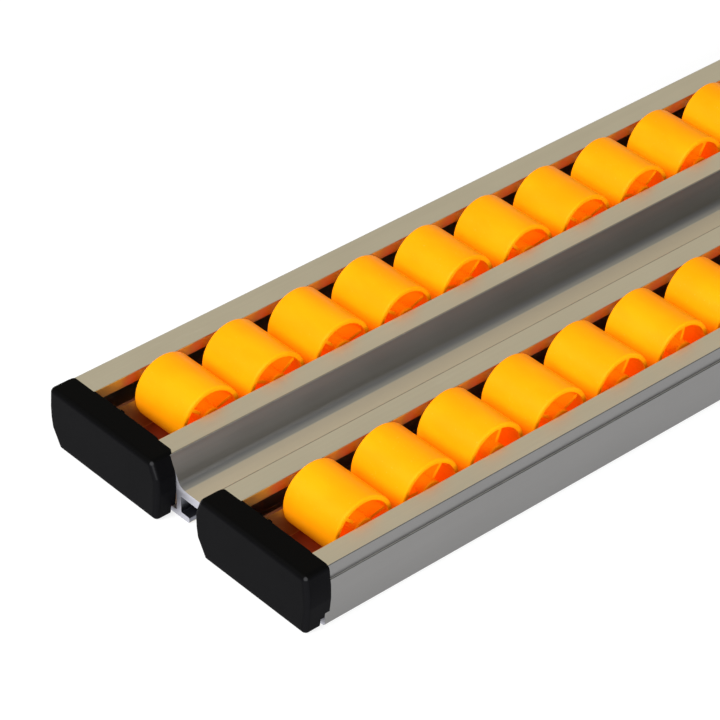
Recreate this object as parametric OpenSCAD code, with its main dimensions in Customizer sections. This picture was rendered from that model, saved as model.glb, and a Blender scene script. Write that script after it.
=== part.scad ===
// Flow rack roller track: an aluminium profile with two channels side by side. Each channel
// carries a row of free-turning plastic rollers, and a moulded cap closes each channel's ends.
// +Z is up, +Y runs along the track, the loading end is at -Y. The origin is on the underside,
// at mid-length, on the centre line of the fixing slot between the two channels.

/* [Track profile] */
// Height of the profile from its underside to the flange tops
track_h = 28; // [27.6:0.1:29]
// Width of the open valley between the two channels
valley_w = 30; // [28:0.5:31]
// Width of each flange beside the valley
inner_flange = 10.8; // [10:0.1:12]
// Width of the opening that the rollers stand in
opening_w = 41.6; // [41.2:0.1:43]
// Width of the outer flange on the +X side
outer_flange_b = 10; // [9.5:0.1:12]
// Width of the outer flange on the -X side
outer_flange_a = 13; // [11:0.1:14]
// Thickness of the flanges and the outer walls
wall_t = 2.6; // [2.2:0.1:3]
// Thickness of the channel floors
floor_t = 2.5; // [2:0.1:2.8]
// Thickness of the lip along each edge of an opening
lip_t = 2.4; // [2:0.1:2.8]
// Step out of the +X side wall below its flange
shoulder_w = 1; // [0.6:0.1:1.4]
// Distance of that step below the flange tops
shoulder_h = 6.4; // [5.6:0.1:7]

/* [Valley and fixing slot] */
// Top of the web that joins the channels
web_top = 15; // [14.5:0.1:15.5]
// Thickness of the web
web_t = 4.2; // [3.6:0.1:4.6]
// Width of the slot along the underside
slot_w = 8; // [7.6:0.1:8.4]
// Width of the cavity above the slot
cavity_w = 18; // [17:0.1:18.4]
// Thickness of the lips beside the slot
slot_lip_t = 2.8; // [2.4:0.1:3.2]
// Thickness of the walls beside the cavity
cavity_wall = 2.8; // [2.4:0.1:3]
// Radius at the foot of the valley's sloping sides
foot_r = 5; // [4:0.5:6]

/* [Bearing ribs] */
// Thickness of a rib
rib_t = 1.5; // [1.2:0.1:2.2]
// Depth of an axle's seat in a rib's top edge
seat_h = 1.6; // [1.2:0.1:2.4]
// Clearance between a roller's barrel and the ribs beside it
rib_gap = 0.35; // [0.35:0.05:0.8]

/* [Rollers] */
// Rollers in each channel
n_rollers = 12; // [8:1:13]
// Distance between roller axles
pitch = 35; // [33:0.5:40]
// Distance from the cut end of the profile to the first axle
first_axle = 34; // [31:0.5:40]
// Diameter of a roller
roller_d = 30; // [29:0.1:31]
// Length of a roller's barrel
roller_l = 31.5; // [30:0.1:33]
// Height of the axles' centre lines
axle_z = 19.6; // [19:0.1:20.4]
// Wall thickness of the barrel
roller_wall = 2.2; // [1.8:0.1:2.6]
// Rounding at the barrel's rims
rim_r = 0.9; // [0.5:0.1:1.2]
// Diameter of a roller's hub
hub_d = 10; // [9:0.1:11]
// Thickness of the disc between hub and barrel
disc_t = 2.6; // [2:0.1:3]
// Spokes on each side of the disc
n_spokes = 3; // [3:1:6]
// Thickness of a spoke
spoke_t = 1.6; // [1.2:0.1:2]
// Distance of the spokes' ends inside the rim
spoke_in = 2.5; // [1.5:0.1:4]
// Running clearance between hub and rib
end_gap = 0.15; // [0.1:0.01:0.3]
// Radial running clearance between hub and axle
bore_gap = 0.05; // [0.03:0.01:0.08]

/* [Axles] */
// Diameter of an axle
axle_d = 6; // [5:0.1:6.2]
// Clearance between an axle and the flange lips that keep it down
axle_lift = 0.1; // [0.05:0.05:0.4]
// How far an axle's end passes under the flange
axle_under = 4; // [2.5:0.1:4.5]
// Chamfer at an axle's ends
axle_chamfer = 0.5; // [0.3:0.05:0.6]

/* [End caps] */
// How far a cap stands out beyond the profile's end
cap_out = 9.8; // [8:0.1:12]
// Height of a cap's top above the flanges, also the thickness of its top lip
cap_rise = 1; // [0.8:0.05:1.3]
// Bulge of a cap's outer side beyond its flange's edge
cap_bulge = 1.6; // [1.2:0.1:2]
// Overlap of a cap's lips along the profile
cap_lap = 2.4; // [2:0.1:3.5]
// Wall thickness of a cap
cap_wall = 2.2; // [1.8:0.1:2.6]
// Rounding around a cap's front face
cap_round = 2.4; // [1.5:0.1:2.6]
// Reach of a cap's tail into its channel, from the profile's end
tail_l = 12.5; // [9:0.5:14]
// Thickness of the tail's fins and shelf
tail_t = 2; // [1.6:0.1:2.4]
// Reach of the tongue between the flanges, from the profile's end
tongue_l = 3; // [2.6:0.1:4.5]
// Assembly clearance between a cap and the profile
cap_gap = 0.05; // [0.05:0.01:0.2]
// Height of the notch in a cap's skirt and lips above the underside
notch_h = 4.5; // [3.5:0.1:5]
// Reach of the notch past the profile's end
notch_in = 2; // [1:0.1:2.5]
// Clearance between a cap's tail and the ribs and floor
tail_gap = 0.3; // [0.2:0.05:0.5]
// Diameter of the round moulding mark on a cap's face
mark_d = 3.2; // [2.5:0.1:4]

/* [Hidden] */
eps = 0.01;
valley_x = valley_w / 2;
open_in = valley_x + inner_flange;
open_out = open_in + opening_w;
edge_b = open_out + outer_flange_b;
edge_a = open_out + outer_flange_a;
lane_x = (open_in + open_out) / 2;
slot_x = slot_w / 2;
cavity_x = cavity_w / 2;
channel_in = cavity_x + cavity_wall;
track_l = 2 * first_axle + (n_rollers - 1) * pitch;
end_y = track_l / 2;
rib_near = roller_l / 2 + rib_gap;
rib_far = rib_near + rib_t;
rib_top = axle_z - axle_d / 2 + seat_h;
lip_z = axle_z + axle_d / 2 + axle_lift;
lip_h = track_h - lip_z;
bore_r = axle_d / 2 + bore_gap;
hub_l = 2 * (rib_near - end_gap);
axle_l = opening_w + 2 * axle_under;
// The sloping side runs up from the cavity wall to the flange's edge
slope_x = cavity_x - 0.2;
slope_angle = atan2(track_h - web_top, valley_x - slope_x);
// Centre of the rounding at its foot
foot_c = [slope_x - foot_r * tan(slope_angle / 2), web_top + foot_r];
// Outline of a cap
cap_top = track_h + cap_rise;
cap_in = channel_in - 0.2;
corner_r = 2.6;
belly_r = 10;
belly_z = 15;
base_r = 2;
base_lean = 1.6;
// One bottom corner of a cap is cut away on a slope, from slope_z down to slope_w inside
slope_z = 8.4;
slope_w = 5;
foot_tip = 1.1;
mark_x = 19.5;
mark_z = 22.8;
// Where each roller has come to rest, as its first spoke's angle from upright
rest_a = [70, 56, 74, 68, 45, 78, 70, 50, 30, 12, 88, 40];
rest_b = [76, 37, 21, 62, 27, 13, 50, 82, 5, 33, 66, 100];

alloy = [0.68, 0.66, 0.60];
amber = [1.0, 0.62, 0.05];
black = [0.10, 0.10, 0.11];
steel = [0.72, 0.72, 0.74];

function axle_y(i) = -end_y + first_axle + (i - 1) * pitch;

// Section of one channel with its half of the valley and slot, towards +X. The outer wall is
// flush with the flange, or steps out below it by the shoulder.
module channel_section(flange, shoulder) {
  edge = open_out + flange;
  outer = edge + shoulder;
  // floor, with a rounded outer corner
  translate([slot_x, 0]) square([cavity_x - slot_x, slot_lip_t]);
  translate([cavity_x - eps, 0]) square([outer - cavity_x - 1.5, floor_t]);
  translate([outer - 1.5, 1.5]) circle(r = 1.5, $fn = 32);
  translate([outer - wall_t, 1.5]) square([wall_t, track_h - shoulder_h - 1.5]);
  // upper part of the outer wall
  translate([edge - wall_t, track_h - shoulder_h - wall_t]) square([wall_t, shoulder_h + wall_t]);
  // outer flange and its lip
  translate([open_out, track_h - wall_t]) square([flange, wall_t]);
  translate([open_out, track_h - lip_h]) square([lip_t, lip_h]);
  // inner flange and its lip
  translate([valley_x, track_h - wall_t]) square([inner_flange, wall_t]);
  translate([open_in - lip_t, track_h - lip_h]) square([lip_t, lip_h]);
  // ribs that carry the axles
  translate([lane_x - rib_far, 0]) square([rib_t, rib_top]);
  translate([lane_x + rib_near, 0]) square([rib_t, rib_top]);
  // wall beside the slot cavity, web and sloping side
  translate([cavity_x, 0]) square([cavity_wall, web_top - web_t + 1]);
  translate([-eps, web_top - web_t]) square([foot_c[0] + 1, web_t]);
  polygon(concat(
    [
      [foot_c[0], web_top - web_t], [channel_in, web_top - web_t], [channel_in, web_top - 2],
      [valley_x + 3, track_h - wall_t - 2], [valley_x + 3, track_h], [valley_x, track_h]
    ],
    [for (a = [slope_angle - 90:-slope_angle / 8:-90.01]) foot_c + foot_r * [cos(a), sin(a)]]
  ));
}

module track_section() {
  channel_section(outer_flange_b, shoulder_w);
  mirror([1, 0]) channel_section(outer_flange_a, 0);
}

module track_profile() {
  color(alloy)
  difference() {
    rotate([90, 0, 0])
      linear_extrude(height = track_l, center = true) track_section();
    // seats of the axles in the ribs' top edges
    for (side = [-1, 1], i = [1:n_rollers])
      translate([side * lane_x, axle_y(i), axle_z])
        rotate([0, 90, 0])
          cylinder(h = 2 * rib_far + 1, r = axle_d / 2, center = true, $fn = 48);
  }
}

// One roller, along X about its own axle's centre line
module roller(turn) {
  half = roller_l / 2;
  r = roller_d / 2;
  color(amber)
  rotate([0, 90, 0])
  rotate([0, 0, turn])
  difference() {
    union() {
      rotate_extrude($fn = 96)
        union() {
          translate([r - roller_wall, -half + rim_r]) square([roller_wall, roller_l - 2 * rim_r]);
          translate([r - roller_wall, -half]) square([roller_wall - rim_r, roller_l]);
          for (s = [-1, 1])
            translate([r - rim_r, s * (half - rim_r)]) circle(r = rim_r, $fn = 32);
          translate([bore_r, -disc_t / 2]) square([r - roller_wall - bore_r + eps, disc_t]);
          translate([bore_r, -hub_l / 2]) square([hub_d / 2 - bore_r, hub_l]);
        }
      for (k = [0:n_spokes - 1])
        rotate([0, 0, k * 360 / n_spokes])
          translate([hub_d / 2 - 0.5, -spoke_t / 2, -half + spoke_in])
            cube([r - roller_wall - hub_d / 2 + 1, spoke_t, roller_l - 2 * spoke_in]);
    }
    cylinder(h = hub_l + 2, r = bore_r, center = true, $fn = 48);
  }
}

// One axle, along X
module axle() {
  r = axle_d / 2;
  color(steel)
  rotate([0, 90, 0])
  rotate_extrude($fn = 48)
    polygon([
      [0, -axle_l / 2], [r - axle_chamfer, -axle_l / 2], [r, -axle_l / 2 + axle_chamfer],
      [r, axle_l / 2 - axle_chamfer], [r - axle_chamfer, axle_l / 2], [0, axle_l / 2]
    ]);
}

// Bottom corner of a cap's outline at x, with the cap on the side that s points to
module base_corner(x, s, sloped) {
  if (sloped) {
    translate([x + s * (0.6 + base_r), slope_z]) circle(r = base_r, $fn = 32);
    translate([x + s * (slope_w + foot_tip), 1.2 + foot_tip]) circle(r = foot_tip, $fn = 24);
    translate([x + s * (slope_w + foot_tip + 0.1), foot_tip]) circle(r = foot_tip, $fn = 24);
  } else translate([x + s * (base_lean + base_r), base_r]) circle(r = base_r, $fn = 32);
}

// Face outline of a cap, towards +X, drawn in by inset. The cut corner is the outer or the
// inner one.
module cap_outline(side_out, slope_out, inset) {
  offset(delta = -inset)
  hull() {
    translate([valley_x + 1.9, cap_top - corner_r]) circle(r = corner_r, $fn = 32);
    translate([cap_in + belly_r, belly_z]) circle(r = belly_r, $fn = 48);
    base_corner(cap_in, 1, !slope_out);
    translate([side_out - 0.7 - corner_r, cap_top - corner_r]) circle(r = corner_r, $fn = 32);
    translate([side_out - belly_r, belly_z]) circle(r = belly_r, $fn = 48);
    base_corner(side_out, -1, slope_out);
  }
}

// A slab of the cap's outline from y to y + depth
module cap_slab(side_out, slope_out, inset, y, depth) {
  translate([0, y + depth, 0])
    rotate([90, 0, 0])
      linear_extrude(height = depth) cap_outline(side_out, slope_out, inset);
}

// A box given by its two corners
module span(low, high) {
  translate(low) cube(high - low);
}

// Cap of one channel at the -Y end, towards +X
module cap(flange, shoulder, slope_out) {
  edge = open_out + flange;
  side_out = edge + cap_bulge + shoulder / 2;
  front = -end_y - cap_out;
  fin_x = rib_near - tail_gap - tail_t / 2;
  color(black)
  difference() {
    union() {
      // rounded front and straight skirt
      hull() {
        for (a = [0:18:90])
          cap_slab(side_out, slope_out, cap_round * (1 - sin(a)),
                   front + cap_round * (1 - cos(a)), 0.05);
        cap_slab(side_out, slope_out, 0, -end_y - 0.05, 0.05);
      }
      // lips over the flanges and the outer side
      difference() {
        cap_slab(side_out, slope_out, 0, -end_y - 0.5, cap_lap + 0.5);
        span([0, -end_y - 1, -1], [edge + cap_gap, -end_y + cap_lap + 1, track_h + cap_gap]);
        span([0, -end_y - 1, -1],
             [edge + shoulder + cap_gap, -end_y + cap_lap + 1, track_h - shoulder_h + cap_gap]);
      }
      // tongue that fills the opening between the flanges
      span([open_in + tail_gap, -end_y - 1, track_h - 2.4],
           [open_out - tail_gap, -end_y + tongue_l, cap_top - 0.4]);
      // tail: two fins beside the ribs and a shelf over the floor
      for (s = [-1, 1])
        span([lane_x + s * fin_x - tail_t / 2, front + cap_round, floor_t + tail_gap],
             [lane_x + s * fin_x + tail_t / 2, -end_y + tail_l, rib_top - 1]);
      span([lane_x - fin_x, front + cap_round, floor_t + tail_gap],
           [lane_x + fin_x, -end_y + tail_l, floor_t + tail_gap + tail_t]);
    }
    // hollow behind the front wall, around the tail
    difference() {
      hull() {
        cap_slab(side_out, slope_out, cap_wall, front + cap_wall + 0.4, 0.1);
        cap_slab(side_out, slope_out, cap_wall, -end_y + 0.1, 0.1);
      }
      for (s = [-1, 1])
        span([lane_x + s * fin_x - tail_t / 2, front, 0], [lane_x + s * fin_x + tail_t / 2, 0, rib_top - 1]);
      span([lane_x - fin_x, front, 0], [lane_x + fin_x, 0, floor_t + tail_gap + tail_t]);
      span([0, front, track_h - 2.4], [edge + 10, 0, cap_top]);
    }
    // notch along the bottom of the skirt and lips, on both sides of the tail
    span([0, -end_y - notch_in, -1], [lane_x - fin_x - tail_t / 2, -end_y + 10, notch_h]);
    span([lane_x + fin_x + tail_t / 2, -end_y - notch_in, -1], [edge + 10, -end_y + 10, notch_h]);
    span([0, -end_y - notch_in, -1], [edge + 10, -end_y + 20, floor_t + tail_gap]);
    // shallow round mark on the face
    translate([lane_x + mark_x, front - 1, mark_z])
      rotate([-90, 0, 0]) cylinder(h = 1.3, d = mark_d, $fn = 32);
  }
}

module place_roller(side, i) {
  rest = side > 0 ? rest_b : rest_a;
  translate([side * lane_x, axle_y(i), axle_z]) roller(180 - rest[(i - 1) % len(rest)]);
}

module place_axle(side, i) {
  translate([side * lane_x, axle_y(i), axle_z]) axle();
}

track_profile();
cap(outer_flange_b, shoulder_w, false);  // end_cap_b_near
mirror([1, 0, 0]) cap(outer_flange_a, 0, true);  // end_cap_a_near
mirror([0, 1, 0]) cap(outer_flange_b, shoulder_w, true);  // end_cap_b_far
rotate([0, 0, 180]) cap(outer_flange_a, 0, false);  // end_cap_a_far
for (i = [1:n_rollers]) {
  place_roller(-1, i);
  place_roller(1, i);
  place_axle(-1, i);
  place_axle(1, i);
}
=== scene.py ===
import math

import bmesh
import bpy
from mathutils import Euler, Matrix, Vector


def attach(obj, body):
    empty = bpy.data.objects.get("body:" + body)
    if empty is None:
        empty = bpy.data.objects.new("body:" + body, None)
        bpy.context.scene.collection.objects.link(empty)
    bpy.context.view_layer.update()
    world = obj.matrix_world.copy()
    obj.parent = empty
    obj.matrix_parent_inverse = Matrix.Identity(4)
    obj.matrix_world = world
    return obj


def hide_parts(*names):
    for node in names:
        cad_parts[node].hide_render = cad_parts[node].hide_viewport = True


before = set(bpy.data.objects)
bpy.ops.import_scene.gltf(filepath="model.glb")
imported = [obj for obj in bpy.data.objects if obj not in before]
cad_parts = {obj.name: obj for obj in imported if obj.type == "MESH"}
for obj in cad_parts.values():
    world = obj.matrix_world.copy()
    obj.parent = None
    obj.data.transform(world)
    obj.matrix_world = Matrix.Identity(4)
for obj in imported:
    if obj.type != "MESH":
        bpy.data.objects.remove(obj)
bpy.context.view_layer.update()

# Track profile. One aluminium extrusion with two roller channels, the valley between them and
# the fixing slot underneath. It is anodised in a warm grey, then sawn to length and deburred,
# so the die lines run along it and its sawn ends are bare and paler.
mm = 0.001


class Signal:
    """A value running through nodes. Sums on it add Math nodes."""

    def __init__(self, nodes, socket):
        self.nodes, self.socket = nodes, socket

    def math(self, operation, *others):
        values = dict(enumerate((self, *others)))
        return self.nodes.node("ShaderNodeMath", {"operation": operation}, values)

    def __add__(self, other):
        return self.math("ADD", other)

    def __sub__(self, other):
        return self.math("SUBTRACT", other)

    def __mul__(self, other):
        return self.math("MULTIPLY", other)

    def __rsub__(self, other):
        return self.nodes.node("ShaderNodeMath", {"operation": "SUBTRACT"}, {0: other, 1: self})

    __radd__ = __add__
    __rmul__ = __mul__

    def above(self, low, high):
        """0 below low, 1 above high, smooth between."""
        settings = {"interpolation_type": "SMOOTHSTEP"}
        return self.nodes.node("ShaderNodeMapRange", settings, {0: self, 1: low, 2: high})

    def past(self, limit, blur):
        """0 short of a limit in millimetres, 1 past it."""
        return self.above(limit * mm, (limit + blur) * mm)


class Nodes:
    """The nodes of a finish or of the studio's surround."""

    def __init__(self, tree):
        self.tree = tree

    def node(self, kind, settings={}, values={}, output=0):
        """Adds a node with its settings, then the values or signals of its sockets."""
        made = self.tree.nodes.new(kind)
        for key, value in settings.items():
            if key == "stops":
                for element, stop in zip(made.color_ramp.elements, value):
                    element.position, element.color = stop
            else:
                setattr(made, key, value)
        for key, value in values.items():
            if isinstance(value, Signal):
                self.tree.links.new(value.socket, made.inputs[key])
            else:
                made.inputs[key].default_value = value
        return Signal(self, made.outputs[output])

    def mix(self, factor, first, second):
        values = {0: factor, 6: first, 7: second}
        return self.node("ShaderNodeMix", {"data_type": "RGBA"}, values, output=2)

    def feed(self, shader, **signals):
        for key, signal in signals.items():
            self.tree.links.new(signal.socket, shader.inputs[key.replace("_", " ")])


class Finish(Nodes):
    """A material built from nodes around one Principled shader."""

    def __init__(self, name, **constants):
        self.material = bpy.data.materials.new(name)
        self.material.use_nodes = True
        super().__init__(self.material.node_tree)
        self.shader = self.tree.nodes["Principled BSDF"]
        for key, value in constants.items():
            self.shader.inputs[key.replace("_", " ")].default_value = value
        self.place = self.node("ShaderNodeTexCoord", output="Object")
        self.facing = self.node("ShaderNodeTexCoord", output="Normal")

    def noise(self, scale, detail=2.0, stretch=(1, 1, 1), roughness=0.5):
        """Noise over a piece's own place, stretched along its axes."""
        place = self.node("ShaderNodeMapping", {}, {"Vector": self.place, "Scale": stretch})
        values = {"Vector": place, "Scale": scale, "Detail": detail, "Roughness": roughness}
        return self.node("ShaderNodeTexNoise", {}, values)

    def axis(self, vector, letter):
        return self.node("ShaderNodeSeparateXYZ", {}, {0: vector}, output=letter)

    def bumped(self, height, depth, strength):
        values = {"Height": height, "Distance": depth, "Strength": strength}
        return self.node("ShaderNodeBump", {}, values)

    def surface(self, **signals):
        self.feed(self.shader, **signals)


alloy = Finish("warm_grey_anodised")
die_lines = alloy.noise(900.0, 3.0, (1, 0.006, 1), 0.65)
mottle = alloy.noise(45.0, 3.0, (1, 0.35, 1))
rubbed_flats = alloy.noise(160.0, 4.0, (1, 0.2, 1)).above(0.63, 0.78)
saw_marks = alloy.noise(1500.0, 2.0, (0.02, 1, 1))
tone = die_lines * 0.35 + mottle * 0.5

# where the profile's surfaces lie, in millimetres from its middle and its underside
valley_half, web_low, flange_low, edge_in, edge_out = 15.0, 13.0, 27.0, 14.7, 15.5
channel_in, channel_out, channel_low = 25.6, 67.5, 0.8
step_out, step_low, step_high = 77.0, 20.0, 22.2
slot_low, slot_high = 0.5, 10.8

across = alloy.axis(alloy.place, "X").math("ABSOLUTE")
height = alloy.axis(alloy.place, "Z")
facing_x = alloy.axis(alloy.facing, "X")
sideways = facing_x.math("ABSOLUTE")
sawn = alloy.axis(alloy.facing, "Y").math("ABSOLUTE").above(0.85, 0.97)
side_wall = across.past(step_out, 0.2) * sideways.above(0.15, 0.35)
at_step = height.past(step_low, 0.2) * (1 - height.past(step_high, 0.2))
ledge = (across.past(step_out, 0.2) * at_step - side_wall).above(0, 1)
in_valley = (1 - across.past(valley_half, 0.2)) * height.past(web_low, 1.0)
valley_side = in_valley * facing_x.above(0.02, 0.22).math("MAXIMUM", sideways.above(0.6, 0.9))
valley_floor = in_valley - valley_side
at_edge = across.past(edge_in, 0.1) * (1 - across.past(edge_out, 0.2))
flange_edge = at_edge * height.past(flange_low, 0.2)
in_channel = across.past(channel_in, 0.1) * (1 - across.past(channel_out, 0.1))
in_channel = in_channel * height.past(channel_low, 0.1)
in_slot = (1 - across.past(valley_half, 0.2)) * height.past(slot_low, 0.1)
in_slot = in_slot * (1 - height.past(slot_high, 0.1))

# painted light: after the anodised tone, each surface gets a colour that stands in for the shade
# and the reflections that its neighbours throw on it
anodised_and_painted_light = alloy.mix(tone, (0.69, 0.65, 0.56, 1), (0.87, 0.83, 0.71, 1))
anodised_and_painted_light = alloy.mix(rubbed_flats * 0.25, anodised_and_painted_light, (0.92, 0.90, 0.82, 1))
# painted shade: the outer walls get a far darker grey than the flanges
outer_wall_painted_shade = alloy.mix(tone, (0.20, 0.197, 0.195, 1), (0.255, 0.252, 0.248, 1))
anodised_and_painted_light = alloy.mix(side_wall, anodised_and_painted_light, outer_wall_painted_shade)
# painted light: the step along each outer wall gets a neutral grey and far less metal, so that
# it shows as a lit line
anodised_and_painted_light = alloy.mix(ledge, anodised_and_painted_light, (0.62, 0.61, 0.59, 1))
# painted light: the valley's floor gets a lit copy of the anodised tone, warmer and less
# metallic
valley_floor_painted_light = alloy.mix(tone, (0.66, 0.575, 0.435, 1), (0.80, 0.70, 0.53, 1))
anodised_and_painted_light = alloy.mix(valley_floor, anodised_and_painted_light, valley_floor_painted_light)
# painted shade: a dark line along the flanges' edges over the valley
anodised_and_painted_light = alloy.mix(flange_edge * 0.8, anodised_and_painted_light, (0.33, 0.30, 0.25, 1))
# painted shade: the valley's sloping walls are dark, the less steep faces at their foot a
# lighter grey
valley_wall_painted_shade = alloy.mix(tone, (0.205, 0.20, 0.188, 1), (0.27, 0.262, 0.248, 1))
valley_wall_painted_shade = alloy.mix(sideways.above(0.30, 0.95), (0.46, 0.458, 0.452, 1), valley_wall_painted_shade)
anodised_and_painted_light = alloy.mix(valley_side, anodised_and_painted_light, valley_wall_painted_shade)
# painted shade: the inside of the slot underneath is a dark blue-grey
anodised_and_painted_light = alloy.mix(in_slot, anodised_and_painted_light, (0.20, 0.205, 0.235, 1))
# painted reflections and shade: inside the roller channels the metal is a dark red-brown, and
# their upright faces a yellowish tone, for the orange rollers they mirror
anodised_and_painted_light = alloy.mix(in_channel, anodised_and_painted_light, (0.42, 0.18, 0.11, 1))
channel_wall = in_channel * sideways.above(0.5, 0.9)
anodised_and_painted_light = alloy.mix(channel_wall, anodised_and_painted_light, (0.60, 0.56, 0.24, 1))
alloy.surface(
    Base_Color=alloy.mix(sawn, anodised_and_painted_light, (0.60, 0.60, 0.66, 1)),
    Metallic=1 - valley_floor * 0.38 - ledge * 0.7,
    Roughness=0.27 + in_channel * 0.06 + valley_side * 0.10 + die_lines * 0.10 + mottle * 0.05
    + sawn * 0.15 + saw_marks * sawn * 0.1,
    Normal=alloy.bumped(die_lines * (1 - sawn) + saw_marks * sawn, 0.00003, 0.5),
)


def piece(name, bm, finish, body, *nodes):
    """Makes a finished mesh a piece of the object on a body, in place of its CAD nodes."""
    mesh = bpy.data.meshes.new(name)
    bm.to_mesh(mesh)
    bm.free()
    made = bpy.data.objects.new(name, mesh)
    bpy.context.collection.objects.link(made)
    mesh.materials.append(finish.material)
    mesh.shade_smooth()
    mesh.set_sharp_from_angle(angle=math.radians(38))
    weighted = made.modifiers.new("weighted_normals", "WEIGHTED_NORMAL")
    weighted.keep_sharp = True
    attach(made, body)
    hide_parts(*nodes)
    return made


def broken_edges(bm, edges, size):
    """Rounds edges by a small size."""
    bmesh.ops.bevel(
        bm, geom=edges, offset=size, offset_type="OFFSET", segments=2, profile=0.5,
        affect="EDGES", clamp_overlap=True, material=-1,
    )


shortest_arris, arris_round = 400 * mm, 0.4 * mm
bm = bmesh.new()
bm.from_mesh(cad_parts["track_profile"].data)
bmesh.ops.remove_doubles(bm, verts=bm.verts, dist=0.002 * mm)
bmesh.ops.dissolve_limit(bm, angle_limit=math.radians(0.6), verts=bm.verts, edges=bm.edges)
arrises = [
    e for e in bm.edges
    if e.calc_length() > shortest_arris
    and e.is_manifold and e.calc_face_angle() > math.radians(50)
]
broken_edges(bm, arrises, arris_round)
profile = piece("aluminium_profile", bm, alloy, "track", "track_profile")

# Rollers. Each is one glossy moulding in translucent amber plastic that turns on its own axle:
# a barrel with rounded rims, hollow from both ends, on a hub that a disc and three thin spokes
# a side carry. A faint glow stands for the light that such plastic carries inside.
amber = Finish(
    "amber_plastic", Specular_IOR_Level=0.045,
    Emission_Color=(1.0, 0.165, 0.0, 1), Emission_Strength=0.185,
)
flow = amber.noise(70.0, 3.0, (0.5, 1, 1))
specks = amber.noise(1400.0, 1.0).above(0.70, 0.78)
scuffs = amber.noise(380.0, 4.0, (0.25, 1, 1)).above(0.60, 0.80)
colour = amber.mix(flow.above(0.3, 0.75), (1.0, 0.345, 0.002, 1), (1.0, 0.395, 0.003, 1))
amber.surface(
    Base_Color=amber.mix(specks * 0.3, colour, (1.0, 0.60, 0.10, 1)),
    Roughness=0.30 + flow * 0.08 + scuffs * 0.16,
    Normal=amber.bumped(flow * 0.6 + scuffs * 0.25, 0.00012, 0.35),
)

barrel_r, barrel_half, barrel_wall, rim_r = 15.0, 15.75, 2.2, 0.9
mouth_round, mouth_middle = 0.5, 0.12
hub_r, hub_half, hub_chamfer, bore_r = 5.0, 15.95, 0.4, 3.05
disc_half, disc_fillet = 1.3, 0.8
spokes, spoke_t, spoke_in, spoke_root, spoke_round = 3, 1.6, 2.5, 0.3, 0.3
pitch, first_axle, axle_z, lane_x = 35.0, -192.5, 19.6, 46.6
# where each roller has come to rest, as its first spoke's angle from upright
at_rest = {
    "a": (70, 56, 74, 68, 45, 78, 70, 50, 30, 12, 88, 40),
    "b": (76, 37, 21, 62, 27, 13, 50, 82, 5, 33, 66, 100),
}


def turned_barrel():
    """Barrel, disc and hub in one outline turned about the X axis, in millimetres."""
    bm = bmesh.new()
    inner = barrel_r - barrel_wall
    half = [
        (hub_half, bore_r),
        (hub_half, hub_r - hub_chamfer),
        (hub_half - hub_chamfer, hub_r),
        (disc_half + disc_fillet, hub_r),
        (disc_half, hub_r + disc_fillet),
        (disc_half, inner - disc_fillet),
        (disc_half + disc_fillet, inner),
        (barrel_half - mouth_round, inner),
        (barrel_half - mouth_middle, inner + mouth_middle),
        (barrel_half, inner + mouth_round),
    ]
    for angle in (0, 22.5, 45, 67.5, 90):
        a = math.radians(angle)
        rim = (barrel_half - rim_r + rim_r * math.cos(a), barrel_r - rim_r + rim_r * math.sin(a))
        half.append(rim)
    outline = half + [(-x, r) for x, r in reversed(half)]
    ring = [bm.verts.new((x, 0, r)) for x, r in outline]
    edges = [bm.edges.new(pair) for pair in zip(ring, ring[1:] + ring[:1])]
    bmesh.ops.spin(
        bm, geom=ring + edges, cent=(0, 0, 0), axis=(1, 0, 0), dvec=(0, 0, 0),
        angle=2 * math.pi, steps=72, use_merge=True, use_duplicate=False,
    )
    bmesh.ops.remove_doubles(bm, verts=bm.verts, dist=0.0005)
    bmesh.ops.recalc_face_normals(bm, faces=bm.faces)
    return bm


def add_spoke(bm, side, angle):
    """A flat spoke from hub to barrel, with its outer edges rounded."""
    low, high = hub_r - spoke_root, barrel_r - barrel_wall + spoke_root
    length = barrel_half - spoke_in - disc_half + spoke_root
    made = bmesh.ops.create_cube(bm, size=1)["verts"]
    bmesh.ops.scale(bm, vec=(length, spoke_t, high - low), verts=made)
    place = Vector((side * (disc_half - spoke_root + length / 2), 0, (low + high) / 2))
    bmesh.ops.translate(bm, vec=place, verts=made)
    face = Matrix.Rotation(math.radians(-angle), 3, "X")
    bmesh.ops.rotate(bm, cent=(0, 0, 0), matrix=face, verts=made)
    outer = [v for v in made if abs(v.co.x) > length / 2]
    rims = {e for v in outer for e in v.link_edges if all(w in outer for w in e.verts)}
    broken_edges(bm, list(rims), spoke_round)


for lane, side in (("a", -1), ("b", 1)):
    for index, turn in enumerate(at_rest[lane]):
        bm = turned_barrel()
        for hand in (-1, 1):
            for k in range(spokes):
                add_spoke(bm, hand, turn + k * 360 / spokes)
        centre = Vector((side * lane_x, first_axle + index * pitch, axle_z))
        bmesh.ops.translate(bm, vec=centre, verts=bm.verts)
        bmesh.ops.scale(bm, vec=(mm, mm, mm), verts=bm.verts)
        name = f"roller_{lane}_{index + 1}"
        roller = piece(f"amber_{name}", bm, amber, name, name)

# Axles. Plain drawn steel rods with chamfered ends. They lie in seats in the ribs' top edges,
# under the flange lips, and carry a trace of oil from the rollers.
steel = Finish("drawn_steel", Metallic=1.0)
drawn = steel.noise(1200.0, 2.0, (0.02, 1, 1))
oil = steel.noise(120.0, 3.0)
steel.surface(
    Base_Color=steel.mix(oil, (0.42, 0.42, 0.43, 1), (0.60, 0.60, 0.61, 1)),
    Roughness=0.24 + drawn * 0.12 + oil * 0.10,
    Normal=steel.bumped(drawn, 0.00002, 0.4),
)
for name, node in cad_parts.items():
    if name.startswith("axle_"):
        node.data.materials.clear()
        node.data.materials.append(steel.material)

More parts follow.
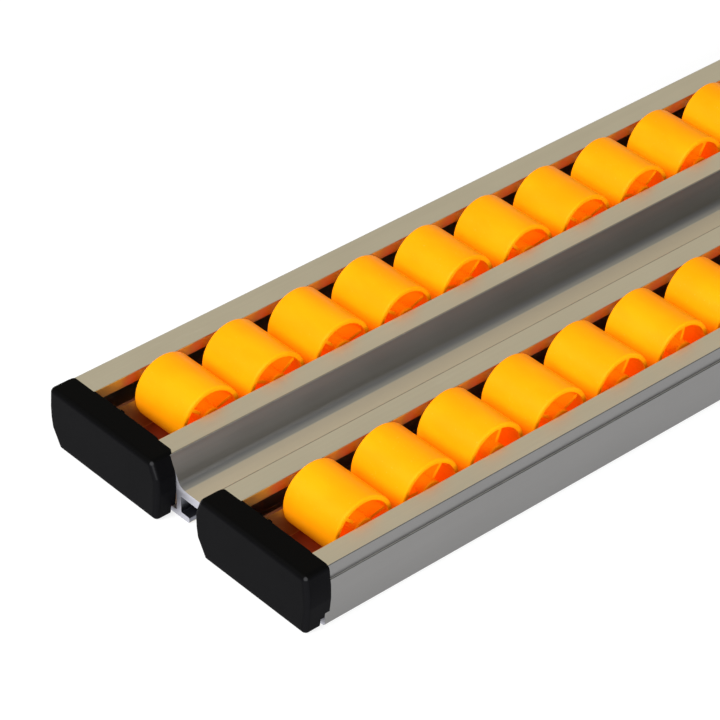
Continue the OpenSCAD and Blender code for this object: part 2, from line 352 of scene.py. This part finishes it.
# End caps. Hollow black mouldings with a satin face, pushed onto the ends of the channels.
# Thin lips lap over the flanges and the outer wall, a tongue fills the opening between the
# flanges, and a tail of two fins and a shelf slides in between the ribs.
black = Finish("black_satin_plastic", Specular_IOR_Level=0.022)
spark = black.noise(2600.0, 2.0)
cloud = black.noise(60.0, 2.0)
rubbed = black.noise(240.0, 4.0, (1, 1, 0.4)).above(0.66, 0.85)
top_face = black.axis(black.facing, "Z").above(0.3, 0.8)
side_x = black.axis(black.facing, "X").math("ABSOLUTE")
edge = side_x * black.axis(black.facing, "Y").math("ABSOLUTE")
corner = edge * black.axis(black.facing, "Z").math("ABSOLUTE")
moulded_and_painted_light = black.mix(cloud, (0.0024, 0.0024, 0.003, 1), (0.0038, 0.0038, 0.0046, 1))
# painted sheen: the rounded upright edges between face and sides are lighter
moulded_and_painted_light = black.mix(edge.above(0.1, 0.5), moulded_and_painted_light, (0.006, 0.006, 0.007, 1))
# painted shade: the caps' tops are darker than their faces
moulded_and_painted_light = black.mix(top_face, moulded_and_painted_light, (0.002, 0.002, 0.002, 1))
# painted highlight: a pale spot on each rounded corner of the caps
black.surface(
    Base_Color=black.mix(corner.above(0.11, 0.17), moulded_and_painted_light, (0.034, 0.034, 0.036, 1)),
    Roughness=0.46 + spark * 0.10 - rubbed * 0.08,
    Normal=black.bumped(spark, 0.00004, 0.5),
)

profile_end, front, cap_top, flange_top = -226.5, -236.3, 29.0, 28.0
cap_inner, open_in, open_out, bulge = 11.6, 25.8, 67.4, 1.6
skirt_wall, face_round, face_set = 2.2, 2.4, 0.04
notch_top, notch_front = 4.5, -228.5
crown_inner, crown_lean, crown_round = 14.3, 0.7, 2.6
belly_heights, belly_round = (19.5, 14.0), 6.0
# the base on each side, as how far it leans in, its height, its radius and the way inwards
plain_base = [(1.6, 0, 2.0, 1)]
cut_base = [(0.55, 9.4, 2.0, 0), (5.0, 2.2, 0.9, 1), (5.1, 0, 0.7, 1)]
lap, lip_wall, lip_root, lip_tuck, lip_drop, lip_short = 2.4, 0.85, 0.3, 0.12, 0.15, 1.8
tongue_drop, tongue_l, tongue_t, tongue_gap = 0.4, 3.0, 2.4, 0.3
tail_front, tail_end, shelf_t = 2.3, -214.0, 2.0
fin_x, fin_t, fin_low, fin_high = 14.8, 2.0, 2.8, 17.2
mark_x, mark_z, mark_r, mark_t = 19.5, 22.8, 1.35, 0.16
short_in, short_out, short_top = 17.5, 3.7, 22.0
hair, least_r = 0.01, 0.02


def face_corners(outer, slope_out):
    """Rounded corners of a cap's face as x, z, radius and the way inwards."""
    corners = []
    for x, in_x, crown_x, sloped in (
        (cap_inner, 1, crown_inner, not slope_out),
        (outer, -1, outer - crown_lean, slope_out),
    ):
        corners.append((crown_x, cap_top, crown_round, in_x, -1))
        corners += [(x, z, belly_round, in_x, 0) for z in belly_heights]
        base = cut_base if sloped else plain_base
        corners += [(x + in_x * lean, z, radius, in_x, in_z) for lean, z, radius, in_z in base]
    return corners


def cap_skin(outer, slope_out):
    """Face and skirt of a cap, open at the back and notched along the bottom."""
    bm = bmesh.new()
    # it is stretched over rings of its corners' circles, drawn in towards the face
    rings = []
    for angle in range(0, 105, 15):
        a = math.radians(angle)
        depth = face_round * (1 - math.cos(a))
        rings.append((face_round * (1 - math.sin(a)), front + face_set + depth))
    rings.append((0.0, profile_end))
    upright = Matrix.Rotation(math.pi / 2, 4, "X")
    for inset, y in rings:
        for x, z, radius, in_x, in_z in face_corners(outer, slope_out):
            r = max(radius - inset, least_r)
            reach = max(radius, inset) if in_z else max(radius, inset + least_r)
            centre = Matrix.Translation((x + in_x * reach, y, z + in_z * reach))
            bmesh.ops.create_circle(bm, segments=32, radius=r, matrix=centre @ upright)
    hull = bmesh.ops.convex_hull(bm, input=list(bm.verts), use_existing_faces=False)
    loose = hull["geom_interior"] + hull["geom_unused"]
    loose = list({g for g in loose if isinstance(g, bmesh.types.BMVert)})
    bmesh.ops.delete(bm, geom=loose, context="VERTS")
    bmesh.ops.remove_doubles(bm, verts=bm.verts, dist=0.03)
    bmesh.ops.dissolve_limit(
        bm, angle_limit=math.radians(1.2), verts=bm.verts, edges=bm.edges,
    )
    bmesh.ops.recalc_face_normals(bm, faces=bm.faces)
    back = [f for f in bm.faces if f.normal.y > 0.9]
    bmesh.ops.delete(bm, geom=back, context="FACES_ONLY")
    for point, normal in (((0, 0, notch_top), (0, 0, 1)), ((0, notch_front, 0), (0, 1, 0))):
        geom = list(bm.verts) + list(bm.edges) + list(bm.faces)
        bmesh.ops.bisect_plane(bm, geom=geom, plane_co=point, plane_no=normal, dist=0.001)
    middles = [(f, f.calc_center_median()) for f in bm.faces]
    notch = [f for f, m in middles if m.z < notch_top and m.y > notch_front]
    bmesh.ops.delete(bm, geom=notch, context="FACES")
    return bm


def on_lip(e, edge):
    """Whether an edge at the skin's back runs over the flanges or down the outer wall."""
    x, y, z = (min(v.co[k] for v in e.verts) for k in range(3))
    at_back = e.is_boundary and y > profile_end - hair and z > notch_top - hair
    return at_back and (z > flange_top + 0.2 or x > edge + 0.5)


def add_walls(bm, edge, outer, slope_out):
    """Gives the skin its thickness, and thin lips that start a touch under its back edge."""
    lip = [e for e in bm.edges if on_lip(e, edge)]
    copy = bmesh.ops.duplicate(bm, geom=lip)["geom"]
    bmesh.ops.solidify(bm, geom=list(bm.faces), thickness=skirt_wall)
    for v in [g for g in copy if isinstance(g, bmesh.types.BMVert)]:
        if v.co.z > flange_top:
            v.co += Vector((0, -lip_root, -lip_drop))
        else:
            v.co += Vector((-lip_tuck, -lip_root, 0))
    copied_edges = [g for g in copy if isinstance(g, bmesh.types.BMEdge)]
    drawn_out = bmesh.ops.extrude_edge_only(bm, edges=copied_edges)["geom"]
    ends = [g for g in drawn_out if isinstance(g, bmesh.types.BMVert)]
    bmesh.ops.translate(bm, vec=(0, lap + lip_root, 0), verts=ends)
    # the corners over the valley's edge and above the cut side are shorter
    for v in ends:
        share = (short_in - v.co.x) / 3
        if slope_out:
            share = max(share, min((v.co.x - outer + short_out) / 3, (v.co.z - short_top) / 4))
        v.co.y -= lip_short * min(max(share, 0), 1)
    lip_faces = [g for g in drawn_out if isinstance(g, bmesh.types.BMFace)]
    middle = Vector(((edge + cap_inner) / 2, 0, flange_top / 2))
    for f in lip_faces:
        f.normal_update()
        out = f.calc_center_median() - middle
        out.y = 0
        if f.normal.dot(out) < 0:
            f.normal_flip()
    bmesh.ops.solidify(bm, geom=lip_faces, thickness=lip_wall)


def span(bm, low, high, rounding):
    """A box between two corners, with its edges rounded."""
    made = bmesh.ops.create_cube(bm, size=1)["verts"]
    low, high = Vector(low), Vector(high)
    bmesh.ops.scale(bm, vec=high - low, verts=made)
    bmesh.ops.translate(bm, vec=(low + high) / 2, verts=made)
    broken_edges(bm, list({e for v in made for e in v.link_edges}), rounding)


def add_tail(bm):
    """Tongue between the flanges, two fins between the ribs, and a shelf that joins them."""
    tongue_low = (open_in + tongue_gap, profile_end - 1, flange_top - tongue_t)
    tongue_high = (open_out - tongue_gap, profile_end + tongue_l, cap_top - tongue_drop)
    span(bm, tongue_low, tongue_high, 0.35)
    y = front + tail_front
    for x in (lane_x - fin_x, lane_x + fin_x):
        span(bm, (x - fin_t / 2, y, fin_low), (x + fin_t / 2, tail_end, fin_high), 0.3)
    shelf_high = (lane_x + fin_x, tail_end, fin_low + shelf_t)
    span(bm, (lane_x - fin_x, y, fin_low), shelf_high, 0.3)


def add_mark(bm):
    """Thin ring that the moulding tool left on the face."""
    mark = Matrix.Translation((lane_x + mark_x, front + mark_t, mark_z))
    small = mark @ Matrix.Translation((mark_r, 0, 0))
    ring = bmesh.ops.create_circle(bm, segments=10, radius=mark_t, matrix=small)["verts"]
    bmesh.ops.spin(
        bm, geom=ring + list({e for v in ring for e in v.link_edges}),
        cent=mark.translation, axis=(0, 1, 0), dvec=(0, 0, 0),
        angle=2 * math.pi, steps=32, use_merge=True, use_duplicate=False,
    )


for lane, flange, shoulder in (("a", 13.0, 0.0), ("b", 10.0, 1.0)):
    for end in ("near", "far"):
        # one moulding fits both channels: turned, not mirrored, its cut corner is on one hand
        slope_out = (lane == "a") == (end == "near")
        flange_edge_x = open_out + flange
        outer = flange_edge_x + bulge + shoulder / 2
        bm = cap_skin(outer, slope_out)
        add_walls(bm, flange_edge_x, outer, slope_out)
        add_tail(bm)
        add_mark(bm)
        flip = Vector((-1 if lane == "a" else 1, -1 if end == "far" else 1, 1))
        bmesh.ops.scale(bm, vec=flip * mm, verts=bm.verts)
        if flip.x * flip.y < 0:
            bmesh.ops.reverse_faces(bm, faces=bm.faces)
        name = f"end_cap_{lane}_{end}"
        cap = piece(f"black_{name}", bm, black, "track", name)

# Studio. A pale seamless floor under two soft lamps, one from the front and one from the right,
# in a plain grey surround. A large warm card at the back shows in reflections only.
studio = Finish("studio_floor", Roughness=0.9, Specular_IOR_Level=0.0, Emission_Strength=1.0)
to_camera, mirrored, through = (
    studio.node("ShaderNodeLightPath", output=f"Is {kind} Ray")
    for kind in ("Camera", "Glossy", "Transmission")
)
seen = to_camera.math("MAXIMUM", mirrored.math("MAXIMUM", through))
studio.surface(
    Base_Color=studio.mix(seen, (0.93, 0.93, 0.93, 1), (0.36, 0.36, 0.36, 1)),
    Emission_Color=studio.mix(seen, (0, 0, 0, 1), (0.75, 0.75, 0.75, 1)),
)
bm = bmesh.new()
bmesh.ops.create_grid(bm, x_segments=1, y_segments=1, size=6)
floor_mesh = bpy.data.meshes.new("studio_floor")
bm.to_mesh(floor_mesh)
bm.free()
floor = bpy.data.objects.new("studio_floor", floor_mesh)
bpy.context.collection.objects.link(floor)
floor_mesh.materials.append(studio.material)

world = bpy.data.worlds.new("studio")
bpy.context.scene.world = world
world.use_nodes = True
surround = Nodes(world.node_tree)
direction = surround.node("ShaderNodeTexCoord", output="Generated")
card_place = (-0.607, 0.529, 0.593)
toward_card = surround.node(
    "ShaderNodeVectorMath", {"operation": "DOT_PRODUCT"}, {0: direction, 1: card_place},
    output="Value",
)
card_stops = ((0.55, (0.18, 0.184, 0.19, 1)), (0.91, (0.535, 0.495, 0.40, 1)))
card = surround.node("ShaderNodeValToRGB", {"stops": card_stops}, {0: toward_card})
reflected = surround.node("ShaderNodeLightPath", output="Is Glossy Ray")
background = world.node_tree.nodes["Background"]
background.inputs["Strength"].default_value = 1.0
surround.feed(background, Color=surround.mix(reflected, (0.20, 0.204, 0.21, 1), card))


def lamp(name, place, size, power, colour=(1, 1, 1)):
    """A square soft lamp that faces the middle of the track."""
    data = bpy.data.lights.new(name, "AREA")
    data.size, data.energy, data.color = size, power, colour
    made = bpy.data.objects.new(name, data)
    bpy.context.collection.objects.link(made)
    made.location = place
    made.rotation_euler = (-Vector(place)).to_track_quat("-Z", "Y").to_euler()


lamp("front", (-0.3, -1.5, 1.45), 1.2, 39, (1.0, 0.99, 0.97))
lamp("right", (1.7, -0.5, 0.8), 1.0, 28)

camera_data = bpy.data.cameras.new("camera")
camera_data.lens, camera_data.sensor_width = 170.9, 36
camera_data.clip_start, camera_data.clip_end = 0.05, 20
camera = bpy.data.objects.new("camera", camera_data)
bpy.context.collection.objects.link(camera)
camera_place, azimuth, elevation = (0.8322, -0.8668, 0.8560), 48.88, 36.42
facing = Euler((math.radians(90 - elevation), 0, math.radians(azimuth)))
camera.matrix_world = Matrix.Translation(camera_place) @ facing.to_matrix().to_4x4()
bpy.context.scene.camera = camera
bpy.context.scene.view_settings.view_transform = "Standard"
